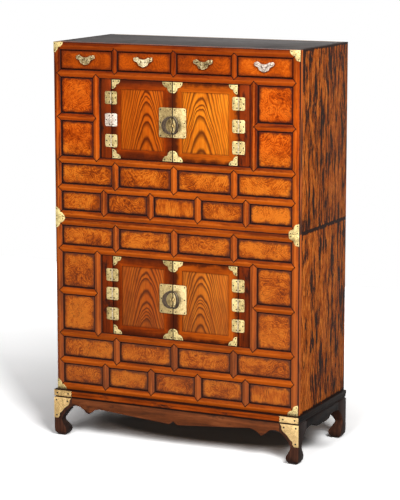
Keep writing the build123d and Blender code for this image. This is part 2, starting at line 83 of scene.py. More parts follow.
class Nodes:
    """Short names for the nodes of one shader tree."""

    def __init__(self, tree, output):
        self.tree = tree
        self.tree.nodes.clear()
        self.out = self.node(output)

    def put(self, socket, value):
        if isinstance(value, bpy.types.NodeSocket):
            self.tree.links.new(value, socket)
        else:
            socket.default_value = value

    def node(self, kind, inputs=None, **props):
        """A node with its settings, and what goes into its inputs."""
        made = self.tree.nodes.new("ShaderNode" + kind)
        for key, value in props.items():
            setattr(made, key, value)
        for key, value in (inputs or {}).items():
            if value is not None:
                self.put(made.inputs[key], value)
        return made

    def place(self):
        return self.node("TexCoord").outputs["Object"]

    def attr(self, name):
        return self.node("Attribute", attribute_name=name).outputs["Vector"]

    def split(self, vector):
        return self.node("SeparateXYZ", {0: vector}).outputs

    def join(self, x, y, z):
        return self.node("CombineXYZ", {0: x, 1: y, 2: z}).outputs[0]

    def vec(self, operation, a, b=None):
        made = self.node("VectorMath", {0: a, 1: b}, operation=operation)
        return made.outputs["Value" if operation in ("DOT_PRODUCT", "LENGTH") else "Vector"]

    def times(self, vector, k):
        """A vector times one number or one socket."""
        if isinstance(k, bpy.types.NodeSocket):
            return self.vec("MULTIPLY", vector, self.join(k, k, k))
        return self.vec("MULTIPLY", vector, (k, k, k))

    def math(self, operation, a, b=None, c=None):
        return self.node("Math", {0: a, 1: b, 2: c}, operation=operation).outputs[0]

    def total(self, *terms):
        """The sum of values, each with its weight."""
        parts = [self.math("MULTIPLY", value, weight) for value, weight in terms]
        result = parts[0]
        for part in parts[1:]:
            result = self.math("ADD", result, part)
        return result

    def moved(self, value, by, amount):
        """A value moved up and down by what a noise has above and below its middle."""
        centred = self.math("SUBTRACT", by, 0.5)
        return self.math("ADD", value, self.math("MULTIPLY", centred, amount))

    def apart(self, a, b):
        return self.math("ABSOLUTE", self.math("SUBTRACT", a, b))

    def step(self, value, low, high, out_low=0.0, out_high=1.0, smooth=True):
        inputs = {0: value, 1: low, 2: high, 3: out_low, 4: out_high}
        kind = "SMOOTHSTEP" if smooth else "LINEAR"
        return self.node("MapRange", inputs, interpolation_type=kind, clamp=True).outputs[0]

    def rays(self):
        """Whether a ray comes from the camera, and whether it was mirrored or let through."""
        path = self.node("LightPath").outputs
        mirrored = self.math("MAXIMUM", path["Is Glossy Ray"], path["Is Transmission Ray"])
        return path["Is Camera Ray"], mirrored


class Shader(Nodes):
    """A material, with what its look is made of."""

    def __init__(self, name):
        self.mat = bpy.data.materials.new(name)
        self.mat.use_nodes = True
        super().__init__(self.mat.node_tree, "OutputMaterial")

    def seeded(self, spread=3.0):
        """Coordinates that are shifted for every separate board."""
        return self.vec("ADD", self.place(), self.times(self.attr("seed"), spread))

    def stretched(self, at, along, axis="Z"):
        """Coordinates that draw a noise out along the grain."""
        return self.vec("MULTIPLY", at, tuple(along if n == axis else 1 for n in "XYZ"))

    def noise(self, vector, scale, detail=3.0, rough=0.5, distort=0.0, colour=False):
        inputs = {"Vector": vector, "Scale": scale, "Detail": detail, "Roughness": rough}
        made = self.node("TexNoise", {**inputs, "Distortion": distort})
        return made.outputs["Color" if colour else "Fac"]

    def warp(self, at, scale, rough, amount):
        """An offset that wanders, with its three axes apart."""
        wander = self.noise(at, scale, 3, rough, colour=True)
        return self.times(self.vec("SUBTRACT", wander, (0.5, 0.5, 0.5)), amount)

    def cells(self, vector, scale, feature="F1", smoothness=None):
        inputs = {"Vector": vector, "Scale": scale, "Smoothness": smoothness}
        return self.node("TexVoronoi", inputs, feature=feature).outputs["Distance"]

    def inside(self, low, high):
        """How far a place is inside the sides of a box, in X and Z."""
        x, _, z = self.split(self.place())
        in_x = [self.math("SUBTRACT", x, low.x), self.math("SUBTRACT", high.x, x)]
        in_z = [self.math("SUBTRACT", z, low.z), self.math("SUBTRACT", high.z, z)]
        return self.math("MINIMUM", self.math("MINIMUM", *in_x), self.math("MINIMUM", *in_z))

    def ramp(self, fac, stops):
        made = self.node("ValToRGB", {0: fac})
        elements = made.color_ramp.elements
        while len(elements) < len(stops):
            elements.new(0.5)
        for element, (at, colour) in zip(elements, stops):
            element.position = at
            element.color = colour
        return made.outputs[0]

    def mix(self, fac, a, b, blend="MIX"):
        made = self.node("Mix", {0: fac, 6: a, 7: b}, data_type="RGBA", blend_type=blend)
        return made.outputs[2]

    def over(self, colour, *layers):
        """A colour under further ones, each with its share and perhaps its way of blending."""
        for share, tint, *blend in layers:
            colour = self.mix(share, colour, tint, *blend)
        return colour

    def grimed_and_shaded(self, colour, reach, low, high, amount, grime_and_shade_colour):
        """Old grime and wax, with painted shade, where other surfaces come close."""
        # the occlusion darkening is painted shade as well as grime
        near = self.node("AmbientOcclusion", {"Distance": reach}, samples=6).outputs["AO"]
        deep = self.step(near, low, high, 1.0, 0.0)
        return self.mix(self.math("MULTIPLY", deep, amount), colour, grime_and_shade_colour)

    def dulled(self, colour, amount=0.30):
        """The lower part of the chest is duller and greyer than the upper part."""
        low = self.step(self.split(self.place())[2], 0.2, 1.0, amount, 0.0, smooth=False)
        return self.mix(low, colour, srgb(112, 78, 58))

    def bump(self, height, distance, strength):
        inputs = {"Height": height, "Distance": distance, "Strength": strength}
        return self.node("Bump", inputs).outputs[0]

    def finish(self, colour, rough, normal, **constants):
        inputs = {"Base Color": colour, "Roughness": rough, "Normal": normal, **constants}
        self.put(self.out.inputs[0], self.node("BsdfPrincipled", inputs).outputs[0])
        return self.mat

    def oiled(self, colour, rough, normal):
        return self.finish(colour, rough, normal, **{"Specular IOR Level": GLOSS})


def bar_wood(name, axis, light, mid, dark):
    """Ridged bars: fine grain along the bar, upper facets darker with dust and painted shade, lower
    facets painted lighter, a painted highlight on the ridge, and grime with painted shade towards
    the grooves.
    """
    s = Shader(name)
    at = s.seeded()
    long_at = s.stretched(at, 0.05, axis)
    bands = s.noise(long_at, 110, 4, 0.6, 0.5)
    fibres = s.noise(long_at, 480, 3, 0.65)
    patches = s.noise(s.stretched(at, 0.35, axis), 16, 4, 0.6)
    tone = s.split(s.attr("seed"))[1]
    fac = s.moved(s.total((bands, 0.56), (patches, 0.50), (fibres, 0.36)), tone, 0.16)
    colour = s.ramp(fac, [(0.60, dark), (0.69, mid), (0.80, light)])

    x, y, z = s.split(s.place())
    # upper facets are darker: dust, with painted shade from their facing up
    facing_up = s.split(s.node("NewGeometry").outputs["Normal"])[2]
    upper = s.step(facing_up, 0.03, 0.24)
    upper = s.math("MULTIPLY", upper, s.step(patches, 0.25, 0.65, 0.62, 0.24))
    depth = s.math("SUBTRACT", y, FRONT)
    uneven = s.moved(depth, s.noise(at, 70, 4, 0.65), 2.6 * MM)
    worn = s.math("MULTIPLY", s.step(uneven, 2.4 * MM, 3.4 * MM), s.step(facing_up, 0.1, -0.1))
    # a painted highlight along the ridge, with some wear
    crest = s.step(uneven, 0.2 * MM, 1.4 * MM, 0.40 if axis == "X" else 0.52, 0.0)
    crest = s.math("MULTIPLY", crest, s.step(bands, 0.36, 0.56, 0.3, 1.0))
    specks = s.step(s.noise(long_at, 240, 3, 0.7), 0.62, 0.72, 0.0, 0.6)
    colour = s.over(
        colour,
        (upper, srgb(82, 26, 10)),
        (s.math("MULTIPLY", worn, 0.34), srgb(186, 116, 78)),
        (crest, srgb(238, 124, 44)),
        # painted light: facets that face down are lighter
        (s.step(facing_up, -0.04, -0.24, 0.0, 0.5), light),
        # painted shade with some grime: darker towards the eaves, grey-black at the grooves
        (s.step(uneven, 1.4 * MM, 4.4 * MM, 0.0, 0.42), srgb(104, 36, 14)),
        (s.step(uneven, 2.8 * MM, 4.5 * MM, 0.0, 0.92), srgb(46, 36, 40)),
        (s.step(z, 1.10, 1.28, 0.0, 0.5), srgb(84, 26, 6)),
        (s.step(z, 0.35, 0.95, 0.24, 0.0), light),
        (s.step(z, *REDDER, 0.0, 0.9), (1.0, 0.85, 0.80, 1.0), "MULTIPLY"),
        (specks, srgb(64, 26, 14)),
    )
    colour = s.dulled(colour, 0.04 if axis == "X" else 0.44)
    # painted shade, with some grime, where other surfaces come close
    colour = s.grimed_and_shaded(colour, 6 * MM, 0.35, 0.9, 0.75, srgb(50, 28, 24))

    # the bars' outer faces belong to the chest's streaked sides and its top
    past_side = s.step(s.math("ABSOLUTE", x), CASE_HALF - 1.6 * MM, CASE_HALF - 0.4 * MM)
    past_top = s.step(z, CASE_TOP - 1.6 * MM, CASE_TOP - 0.4 * MM)
    streaks = s.ramp(bands, [(0.42, srgb(40, 24, 16)), (0.50, srgb(216, 106, 36))])
    streaks = s.mix(s.step(depth, 8 * MM, 11 * MM, 1.0, 0.0), streaks, srgb(30, 19, 16))
    colour = s.mix(s.math("MAXIMUM", past_side, past_top), colour, streaks)

    height = s.math("ADD", s.math("MULTIPLY", fibres, 0.5), bands)
    return s.oiled(colour, s.step(bands, 0.3, 0.8, 0.34, 0.5), s.bump(height, 0.3 * MM, 0.6))


def burl_wood(name, groove_colour, edge_soil_and_shade, figure, reach_in, depths):
    """Raised panels: flowing or straight figure with burl eyes, darker towards the edges with grime
    and painted shade.
    """
    s = Shader(name)
    at = s.seeded(5.0)
    lean = s.math("MULTIPLY_ADD", s.split(s.attr("seed"))[2], 1.9, 0.6)
    straight, edge, bright = s.split(s.attr("look"))
    calm = s.math("MULTIPLY_ADD", straight, -0.94, 1.0)
    warp = s.times(s.warp(at, 8, 0.5, 0.24), calm)
    inputs = {"Vector": s.vec("ADD", at, warp), "Angle": s.math("MULTIPLY", lean, calm)}
    turned = s.node("VectorRotate", inputs, rotation_type="Y_AXIS").outputs[0]
    flow = s.stretched(turned, 0.10)
    fibres = s.noise(flow, 330, 4, 0.7)
    rings = s.noise(flow, 62, 4, 0.6, 0.5)
    clouds = s.noise(at, 15, 4, 0.62)
    speckle = s.noise(at, 340, 3, 0.7)
    knots = s.cells(s.vec("ADD", at, s.times(warp, 0.35)), 11, "SMOOTH_F1", 0.6)
    swirl = s.total((knots, 24), (s.noise(at, 60, 3, 0.6), 2.2))
    swirl = s.math("MULTIPLY", s.apart(s.math("FRACT", swirl), 0.5), calm)
    fac = s.total((fibres, 0.56), (rings, 0.30), (clouds, 0.62), (speckle, 0.20), (swirl, 0.28))
    fac = s.math("MULTIPLY_ADD", s.math("SUBTRACT", fac, 0.89), figure, 0.84)
    colour = s.ramp(
        s.moved(fac, bright, 0.36),
        [
            (0.70, srgb(112, 42, 8)),
            (0.80, srgb(174, 76, 10)),
            (0.90, srgb(206, 94, 14)),
            (1.00, srgb(234, 126, 32)),
        ],
    )

    areas = s.noise(at, 24, 3, 0.6)
    lines = s.apart(s.math("FRACT", s.math("MULTIPLY", rings, 7)), 0.5)
    vein = s.step(lines, 0.0, 0.16, 0.56 * figure, 0.0)
    vein = s.math("MULTIPLY", vein, s.step(areas, 0.36, 0.60))
    eye = s.cells(s.vec("ADD", at, s.times(warp, 0.1)), 75)
    eye = s.math("MULTIPLY", s.step(eye, 0.10, 0.32, 0.55, 0.0), s.step(areas, 0.46, 0.62))
    eye = s.math("MULTIPLY", eye, s.math("MULTIPLY", calm, min(figure, 1.0)))

    # the share of grime and painted shade falls with the way from the edge, at an uneven pace
    smudge = s.noise(at, 42, 4, 0.65)
    reach = s.step(smudge, 0.36, 0.70, 1.5 * MM, 19 * MM, smooth=False)
    width = s.step(smudge, 0.46, 0.72, 2.4 * MM, 7.5 * MM)
    far = s.moved(edge, clouds, 16 * MM)
    colour = s.over(
        colour,
        (vein, srgb(104, 38, 12)),
        (eye, srgb(112, 44, 14)),
        (s.step(s.math("DIVIDE", edge, reach), 0.15, 1.0, edge_soil_and_shade, 0.0), srgb(70, 36, 26)),
        (s.step(s.math("DIVIDE", edge, width), 0.3, 1.0, edge_soil_and_shade, 0.0), groove_colour),
        (s.step(far, 1 * MM, 15 * MM, 0.45, 0.0), srgb(112, 44, 14)),
    )
    _, y, z = s.split(s.place())
    colour = s.over(
        s.dulled(colour),
        (s.step(z, *REDDER, 0.0, 0.9 * min(figure, 1.0)), (1.0, 0.74, 0.62, 1.0), "MULTIPLY"),
        # painted shade: the deepest parts round the field take the groove colour
        (s.step(s.math("SUBTRACT", y, FRONT), 6.4 * MM, 8.2 * MM), groove_colour),
    )
    # painted shade, with some grime, where other surfaces come close
    colour = s.grimed_and_shaded(colour, reach_in, *depths, 0.65, groove_colour)
    height = s.total((fibres, 0.8), (rings, 0.5))
    return s.oiled(colour, s.step(speckle, 0.3, 0.7, 0.34, 0.5), s.bump(height, 0.35 * MM, 0.6))


STEEPEST = 5.6  # slope of the arches far from their centre line
RING_GAPS = (14, 18, 22, 26, 34, 40)  # between the growth rings above the drawn ones, in mm


def arched_wood(name, centre, apexes, bend, light, mid, dark):
    """Plain-sawn board: growth rings that run over a centre line in tall arches.

    Each apex is where a ring crosses the centre line, in mm, as the centre is.
    """
    s = Shader(name)
    at = s.place()
    x, _, z = s.split(at)
    drift = s.noise(s.stretched(at, 0.35), 22, 2, 0.5)
    wave = s.noise(s.stretched(at, 0.25), 70, 2, 0.5)
    u = s.moved(s.math("MULTIPLY_ADD", x, 1000, -centre), drift, 16)
    core = STEEPEST / 2 / bend
    rise = s.math("SQRT", s.math("MULTIPLY_ADD", u, u, core * core))
    rise = s.math("MULTIPLY", s.math("SUBTRACT", rise, core), STEEPEST)
    age = s.moved(s.math("ADD", s.math("MULTIPLY", z, 1000), rise), wave, 14)

    low, high = apexes[0] - 40, apexes[-1] + 1000
    rings = list(apexes)
    rand = random.Random(name)
    while rings[-1] < high - 40:
        wider = 1 + (rings[-1] - apexes[-1]) / 500
        rings.append(rings[-1] + rand.choice(RING_GAPS) * wider)
    count = len(rings) + 1
    curve = s.node("FloatCurve")  # counts the rings that lie below a place
    points = curve.mapping.curves[0].points
    points[0].location = (0, 0)
    points[-1].location = (1, 1)
    for index, ring in enumerate(rings, start=1):
        spot = (ring - low) / (high - low)
        if spot < 0.995:
            points.new(spot, index / count)
    for point in points:
        point.handle_type = "VECTOR"
    curve.mapping.update()
    s.put(curve.inputs["Value"], s.step(age, low, high, smooth=False))
    phase = s.math("FRACT", s.math("MULTIPLY", curve.outputs[0], count))

    side = s.math("ABSOLUTE", u)
    width = s.step(side, 0, 60, 0.30, 0.50, smooth=False)
    line = s.math("SUBTRACT", 1.0, s.step(s.math("DIVIDE", phase, width), 0.30, 1.0))
    line = s.math("MAXIMUM", line, s.step(phase, 0.66, 1.0, 0.0, 0.85))
    line = s.math("MULTIPLY", line, s.step(side, 18, 85, 1.0, 0.45))

    long_at = s.stretched(at, 0.045)
    fibres = s.noise(long_at, 420, 4, 0.65, 0.2)
    bands = s.noise(long_at, 90, 3, 0.5)
    fac = s.total((fibres, 0.5), (bands, 0.35), (s.noise(at, 9, 2, 0.5), 0.25))
    blotch = s.step(s.noise(s.stretched(at, 0.4), 26, 4, 0.6), 0.5, 0.75, 0.0, 0.45)
    colour = s.over(
        s.ramp(fac, [(0.42, mid), (0.68, light)]),
        (s.math("MULTIPLY", line, 0.90), dark),
        (blotch, dark),
    )
    box_low, box_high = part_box(name.replace("_wood", ""))
    hidden = Vector((6, 6, 6)) * MM  # of the panel, in the frame's grooves
    # darker near the frame's grooves and where surfaces come close: grime and painted shade
    near = s.moved(s.inside(box_low + hidden, box_high - hidden), bands, 6 * MM)
    soil = s.step(near, -1 * MM, 6 * MM, 0.35, 0.0)
    colour = s.mix(soil, s.dulled(colour), srgb(120, 50, 14))
    colour = s.grimed_and_shaded(colour, 6 * MM, 0.5, 0.95, 0.45, srgb(60, 28, 16))
    height = s.math("SUBTRACT", s.math("MULTIPLY", fibres, 0.6), s.math("MULTIPLY", line, 0.5))
    return s.oiled(colour, s.step(fibres, 0.3, 0.7, 0.3, 0.44), s.bump(height, 0.25 * MM, 0.45))


def flat_wood(
    name, axis, light, mid, dark, soil=None, soil_at=(0.5, 0.7), rough=(0.4, 0.6),
    rim=None, lines=(), tight=0.8,
):
    """Plain boards with grain along one axis and blotches of soil.

    A rim is a box and the reach of the grime and painted shade inside its sides; lines are levels
    with painted shadow lines.
    """
    s = Shader(name)
    at = s.seeded()
    long_at = s.stretched(at, 0.06, axis)
    bands = s.noise(long_at, 75, 4, 0.6, 0.8)
    fibres = s.noise(long_at, 430, 3, 0.65)
    fac = s.total((bands, 0.6), (fibres, 0.3), (s.noise(at, 8, 3, 0.55), 0.4))
    colour = s.ramp(fac, [(0.45, dark), (0.65, mid), (0.86, light)])
    if soil:
        blot = s.noise(s.stretched(at, 0.4, axis), 30, 5, 0.65)
        colour = s.mix(s.step(blot, *soil_at), colour, soil)
    # painted shadow lines at the joints, at the given levels
    for level in lines:
        gap = s.moved(s.apart(s.split(s.place())[2], level), bands, 2 * MM)
        colour = s.mix(s.step(gap, 1.8 * MM, 4.0 * MM, 0.94, 0.0), colour, srgb(22, 16, 15))
    # the rim: grime and painted shade towards a box's sides
    if rim:
        low, high, reach = rim
        closest = s.moved(s.inside(low, high), s.noise(at, 35, 4, 0.6), 34 * MM)
        colour = s.mix(s.step(closest, 0.0, reach, 0.95, 0.04), colour, srgb(72, 26, 10))
    # painted shade, with some grime, where other surfaces come close
    colour = s.grimed_and_shaded(colour, 4 * MM, 0.5, 0.97, tight, srgb(36, 22, 20))
    height = s.math("ADD", bands, s.math("MULTIPLY", fibres, 0.6))
    return s.oiled(colour, s.step(fibres, 0.3, 0.7, *rough), s.bump(height, 0.3 * MM, 0.6))


def streaked_wood(name):
    """Side boards: orange-brown under sharp black streaks that run down the grain."""
    s = Shader(name)
    at = s.seeded(1.0)
    z = s.split(s.place())[2]
    at = s.vec("ADD", at, s.warp(s.stretched(at, 0.6), 11, 0.6, 0.022))
    wide = s.noise(s.stretched(at, 0.15), 62, 4, 0.66, 0.3)
    narrow = s.noise(s.stretched(at, 0.14), 200, 4, 0.74, 0.3)
    fibres = s.noise(s.stretched(at, 0.04), 480, 3, 0.7)
    clouds = s.noise(s.stretched(at, 0.4), 10, 3, 0.6)
    colour = s.ramp(
        s.total((narrow, 0.7), (fibres, 0.5)),
        [(0.47, srgb(100, 40, 12)), (0.58, srgb(176, 80, 22)), (0.66, srgb(230, 134, 54))],
    )
    black = s.total((wide, 0.70), (narrow, 0.40), (clouds, 0.26), (fibres, 0.10))
    black = s.math("ADD", black, s.step(z, 0.70, 0.76, -0.006, 0.014))
    for level in BOARD_ENDS:
        more = s.step(s.apart(z, level), 0.0, 8 * MM, 0.2, 0.0, smooth=False)
        black = s.math("ADD", black, more)
    colour = s.over(
        colour,
        (s.step(black, 0.70, 0.75, 0.0, 0.25), srgb(84, 44, 24)),
        (s.step(black, 0.752, 0.772, 0.0, 0.97), srgb(30, 24, 22)),
    )
    height = s.math("ADD", s.math("MULTIPLY", fibres, 0.8), narrow)
    return s.oiled(colour, s.step(black, 0.55, 0.75, 0.5, 0.62), s.bump(height, 0.6 * MM, 0.7))


def brass_metal(name, light, mid, dark, rough=(0.36, 0.55), metallic=0.8, tarnish_and_shade_reach=2.5 * MM):
    """Old sheet brass: finely speckled, with brown tarnish in spots, and tarnish with painted shade
    towards what it meets.
    """
    s = Shader(name)
    at = s.seeded(2.0)
    clouds = s.noise(at, 70, 3, 0.6)
    grit = s.noise(at, 420, 4, 0.75)
    scratch = s.noise(s.stretched(at, 0.12), 900, 2, 0.6)
    tone = s.split(s.attr("seed"))[1]
    fac = s.moved(s.total((clouds, 0.35), (grit, 0.6)), tone, 0.10)
    colour = s.ramp(fac, [(0.36, dark), (0.46, mid), (0.56, light)])
    spots = s.step(s.noise(at, 240, 3, 0.6), 0.64, 0.72, 0.0, 0.6)
    colour = s.mix(spots, colour, srgb(92, 70, 42))
    # tarnish with painted shade where other surfaces come close
    colour = s.grimed_and_shaded(colour, tarnish_and_shade_reach, 0.35, 0.85, 0.8, srgb(50, 38, 28))
    height = s.math("ADD", grit, s.math("MULTIPLY", scratch, 0.5))
    shine = s.step(clouds, 0.3, 0.7, *rough)
    return s.finish(colour, shine, s.bump(height, 0.06 * MM, 0.5), Metallic=metallic)


def worn_bronze(name, glint):
    """Dark brown bronze with a painted highlight where it faces up and to the front."""
    s = Shader(name)
    grit = s.noise(s.seeded(2.0), 380, 4, 0.7)
    colour = s.ramp(grit, [(0.35, srgb(22, 17, 13)), (0.64, srgb(98, 80, 62))])
    # painted highlight, fixed to the way a face turns
    facing = s.vec("DOT_PRODUCT", s.node("NewGeometry").outputs["Normal"], (-0.30, -0.72, 0.62))
    lit = s.math("MULTIPLY", s.step(facing, 0.72, 0.97), s.step(grit, 0.3, 0.6, 0.4, 0.95))
    shine = s.step(grit, 0.3, 0.7, 0.28, 0.42)
    return s.finish(s.mix(lit, colour, glint), shine, s.bump(grit, 0.08 * MM, 0.5), Metallic=0.7)


def dark_metal(name, light, dark):
    """Nail heads and worn iron."""
    s = Shader(name)
    grit = s.noise(s.place(), 500, 3, 0.6)
    colour = s.ramp(grit, [(0.35, dark), (0.7, light)])
    shine = s.step(grit, 0.3, 0.7, 0.4, 0.6)
    return s.finish(colour, shine, s.bump(grit, 0.05 * MM, 0.5), Metallic=0.6)


# ---------------------------------------- meshes


def islands(bm):
    """The separate shells of a mesh, in an order that doesn't depend on the file."""
    left, found = set(bm.faces), []
    for face in bm.faces:
        if face not in left:
            continue
        left.discard(face)
        stack, shell = [face], []
        while stack:
            one = stack.pop()
            shell.append(one)
            for vert in one.verts:
                for other in vert.link_faces:
                    if other in left:
                        left.discard(other)
                        stack.append(other)
        found.append(shell)

    def key(shell):
        centre = sum((f.calc_center_median() for f in shell), Vector()) / len(shell)
        return tuple(round(c, 4) for c in (centre.z, centre.x, centre.y))

    return sorted(found, key=key)


def extent(points):
    """The lowest and the highest corner of a box round some points."""
    return [Vector(end(p[i] for p in points) for i in range(3)) for end in (min, max)]


def shell_box(shell):
    return extent([v.co for f in shell for v in f.verts])


def three_random(rand):
    return Vector((rand.random(), rand.random(), rand.random()))


def cad_mesh(node):
    """A CAD node's mesh as clean, joined faces."""
    bm = bmesh.new()
    bm.from_mesh(nodes[node].data)
    bmesh.ops.remove_doubles(bm, verts=bm.verts, dist=0.01 * MM)
    bmesh.ops.dissolve_limit(bm, angle_limit=math.radians(0.6), verts=bm.verts, edges=bm.edges)
    return bm


def node_boxes(node):
    bm = cad_mesh(node)
    boxes = [shell_box(shell) for shell in islands(bm)]
    bm.free()
    return boxes


def absorb(bm, other):
    """Adds another mesh, which is used up."""
    mesh = bpy.data.meshes.new("part")
    other.to_mesh(mesh)
    other.free()
    bm.from_mesh(mesh)
    bpy.data.meshes.remove(mesh)


def piece(name, bm, material, body, node, smooth=35):
    """Makes an object of a mesh, gives each shell its random seed, and sets it on its body."""
    layer = bm.verts.layers.float_vector.new("seed")
    rand = random.Random(name)
    for shell in islands(bm):
        value = three_random(rand)
        for face in shell:
            for vert in face.verts:
                vert[layer] = value
    mesh = bpy.data.meshes.new(name)
    bm.to_mesh(mesh)
    bm.free()
    for m in material if isinstance(material, (list, tuple)) else [material]:
        mesh.materials.append(m)
    mesh.shade_smooth()
    mesh.set_sharp_from_angle(angle=math.radians(smooth))
    made = bpy.data.objects.new(name, mesh)
    bpy.context.scene.collection.objects.link(made)
    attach(made, body)
    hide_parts(node)


def soften(bm, offset, keep=None):
    """Rounds the edges that turn by more than 25 degrees, or those of them that keep takes."""
    edges = [
        e for e in bm.edges
        if len(e.link_faces) == 2 and e.calc_face_angle(0) > math.radians(25)
        and (keep is None or keep(e))
    ]
    if edges:
        bmesh.ops.bevel(
            bm, geom=edges, offset=offset, segments=2, profile=0.5,
            affect="EDGES", clamp_overlap=True,
        )


def dressed(node, name, material, body, offset=0.5 * MM):
    """The CAD node's own shape with softened edges."""
    bm = cad_mesh(node)
    soften(bm, offset)
    piece(name, bm, material, body, node)


def mitred(node, offset, across, keep):
    """A mitred frame without its hidden mitres: material 0 on members along X, else 1."""
    bm = cad_mesh(node)
    hidden = [f for f in bm.faces if abs(f.normal.x) > 0.4 and abs(f.normal[across]) > 0.4]
    bmesh.ops.delete(bm, geom=hidden, context="FACES_ONLY")
    soften(bm, offset, keep)
    low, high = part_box(node)
    for face in bm.faces:
        at = face.calc_center_median()
        from_side, from_end = (min(at[i] - low[i], high[i] - at[i]) for i in (0, across))
        face.material_index = 0 if from_end < from_side else 1
    return bm


def cut(bm, axis, level):
    """Divides the faces along a plane across an axis."""
    normal = Matrix.Identity(3)[axis]
    bmesh.ops.bisect_plane(
        bm, geom=bm.verts[:] + bm.edges[:] + bm.faces[:], plane_co=normal * level,
        plane_no=normal, dist=0.001 * MM,
    )


def back_outline(shell):
    """The outline in X and Z of a bar, read from its flat back."""
    backs = [f for f in shell if f.normal.y > 0.99]
    face = max(backs, key=lambda f: f.calc_center_median().y * 1000 + f.calc_area())
    return [v.co.copy() for v in face.verts]


BAR_STEPS = (0, 1.0, 2.2, 4.5, 8.0, 11.0)  # lines beside a full bar's ridge, in mm
BAR_PIECE = 14 * MM  # length of the pieces that let a bar ripple
PLANED, RIPPLE = 0.12 * MM, 0.22 * MM  # how far a bar is worn down, and by how much it varies
BAR_WEAR = 1.3 * MM  # width of its worn edges
JOINT = 2  # the bars' material for their dirty ends and edges


def bar_face(bm, outline, along, rand):
    """Front and flanks of one ridged bar, as planed by hand."""
    across = 2 - along  # the axes are 0 for X and 2 for Z
    low, high = extent(outline)
    ridge = (low[across] + high[across]) / 2
    half = (high[across] - low[across]) / 2
    scale = half / BAR_HALF
    own = bmesh.new()
    own.faces.new([own.verts.new((p[0], 0, p[2])) for p in outline])
    for offset in BAR_STEPS:
        for sign in (-1, 1):
            cut(own, across, ridge + sign * offset * scale * MM)
    length = high[along] - low[along]
    count = max(2, round(length / BAR_PIECE))
    for i in range(1, count):
        cut(own, along, low[along] + length * i / count)
    shift = three_random(rand) * 10
    crest = FRONT + EAVE * (1 - scale)
    for v in own.verts:
        t = abs(v.co[across] - ridge) / half
        fall = EAVE * scale * (math.sqrt(t * t + 0.012) - 0.11) / 0.895  # from a round ridge
        ripple = RIPPLE * noise.noise(v.co * 28 + shift) * (1 - 0.5 * t)
        v.co.y = crest + max(0.02 * MM, min(EAVE * scale, fall + PLANED + ripple))
    rim = [e for e in own.edges if e.is_boundary]
    made = bmesh.ops.extrude_edge_only(own, edges=rim)
    for v in made["geom"]:
        if isinstance(v, bmesh.types.BMVert):
            v.co.y = FRONT + BAR_BACK
    bmesh.ops.holes_fill(own, edges=[e for e in own.edges if e.is_boundary], sides=0)
    bmesh.ops.recalc_face_normals(own, faces=own.faces)
    corner = [e for e in rim if e.is_valid]
    worn = bmesh.ops.bevel(
        own, geom=corner, offset=BAR_WEAR, segments=2, profile=0.5, affect="EDGES",
        clamp_overlap=False,
    )
    for face in worn["faces"]:
        face.material_index = JOINT
    absorb(bm, own)


def bars(node, name, materials, body):
    """Rebuilds every bar of a lattice node as a worn, hand-planed one."""
    source = cad_mesh(node)
    split = {0: bmesh.new(), 2: bmesh.new()}
    rand = random.Random(node)
    for shell in islands(source):
        low, high = shell_box(shell)
        along = 0 if high.x - low.x > high.z - low.z else 2
        bar_face(split[along], back_outline(shell), along, rand)
    source.free()
    merged = bmesh.new()
    for index, along in enumerate((0, 2)):
        for face in split[along].faces:
            face.material_index = face.material_index or index
        absorb(merged, split[along])
    piece(name, merged, materials, body, node, smooth=40)


def spread(low, high, edge_steps, gap):
    """Grid positions that are close together near both ends."""
    inner_low, inner_high = low + edge_steps[-1], high - edge_steps[-1]
    count = max(1, round((inner_high - inner_low) / gap))
    middle = [inner_low + (inner_high - inner_low) * i / count for i in range(1, count)]
    return [low + s for s in edge_steps] + middle + [high - s for s in reversed(edge_steps)]


ROUND_STEPS = (0, 0.5 * MM, 1.3 * MM, 2.5 * MM, 4.2 * MM, 6.8 * MM)
PANEL_GRID = 5 * MM
CORNER = 16 * MM  # radius of the clean middle's corners
PANEL_BACK = 6 * MM  # from the tongue's face to the panel's back
DEEPEST = 4.6 * MM  # how far a field may lie behind its own plane
SWELL, WOBBLE = 0.35 * MM, 0.5 * MM  # unevenness of a field's face and of its outline


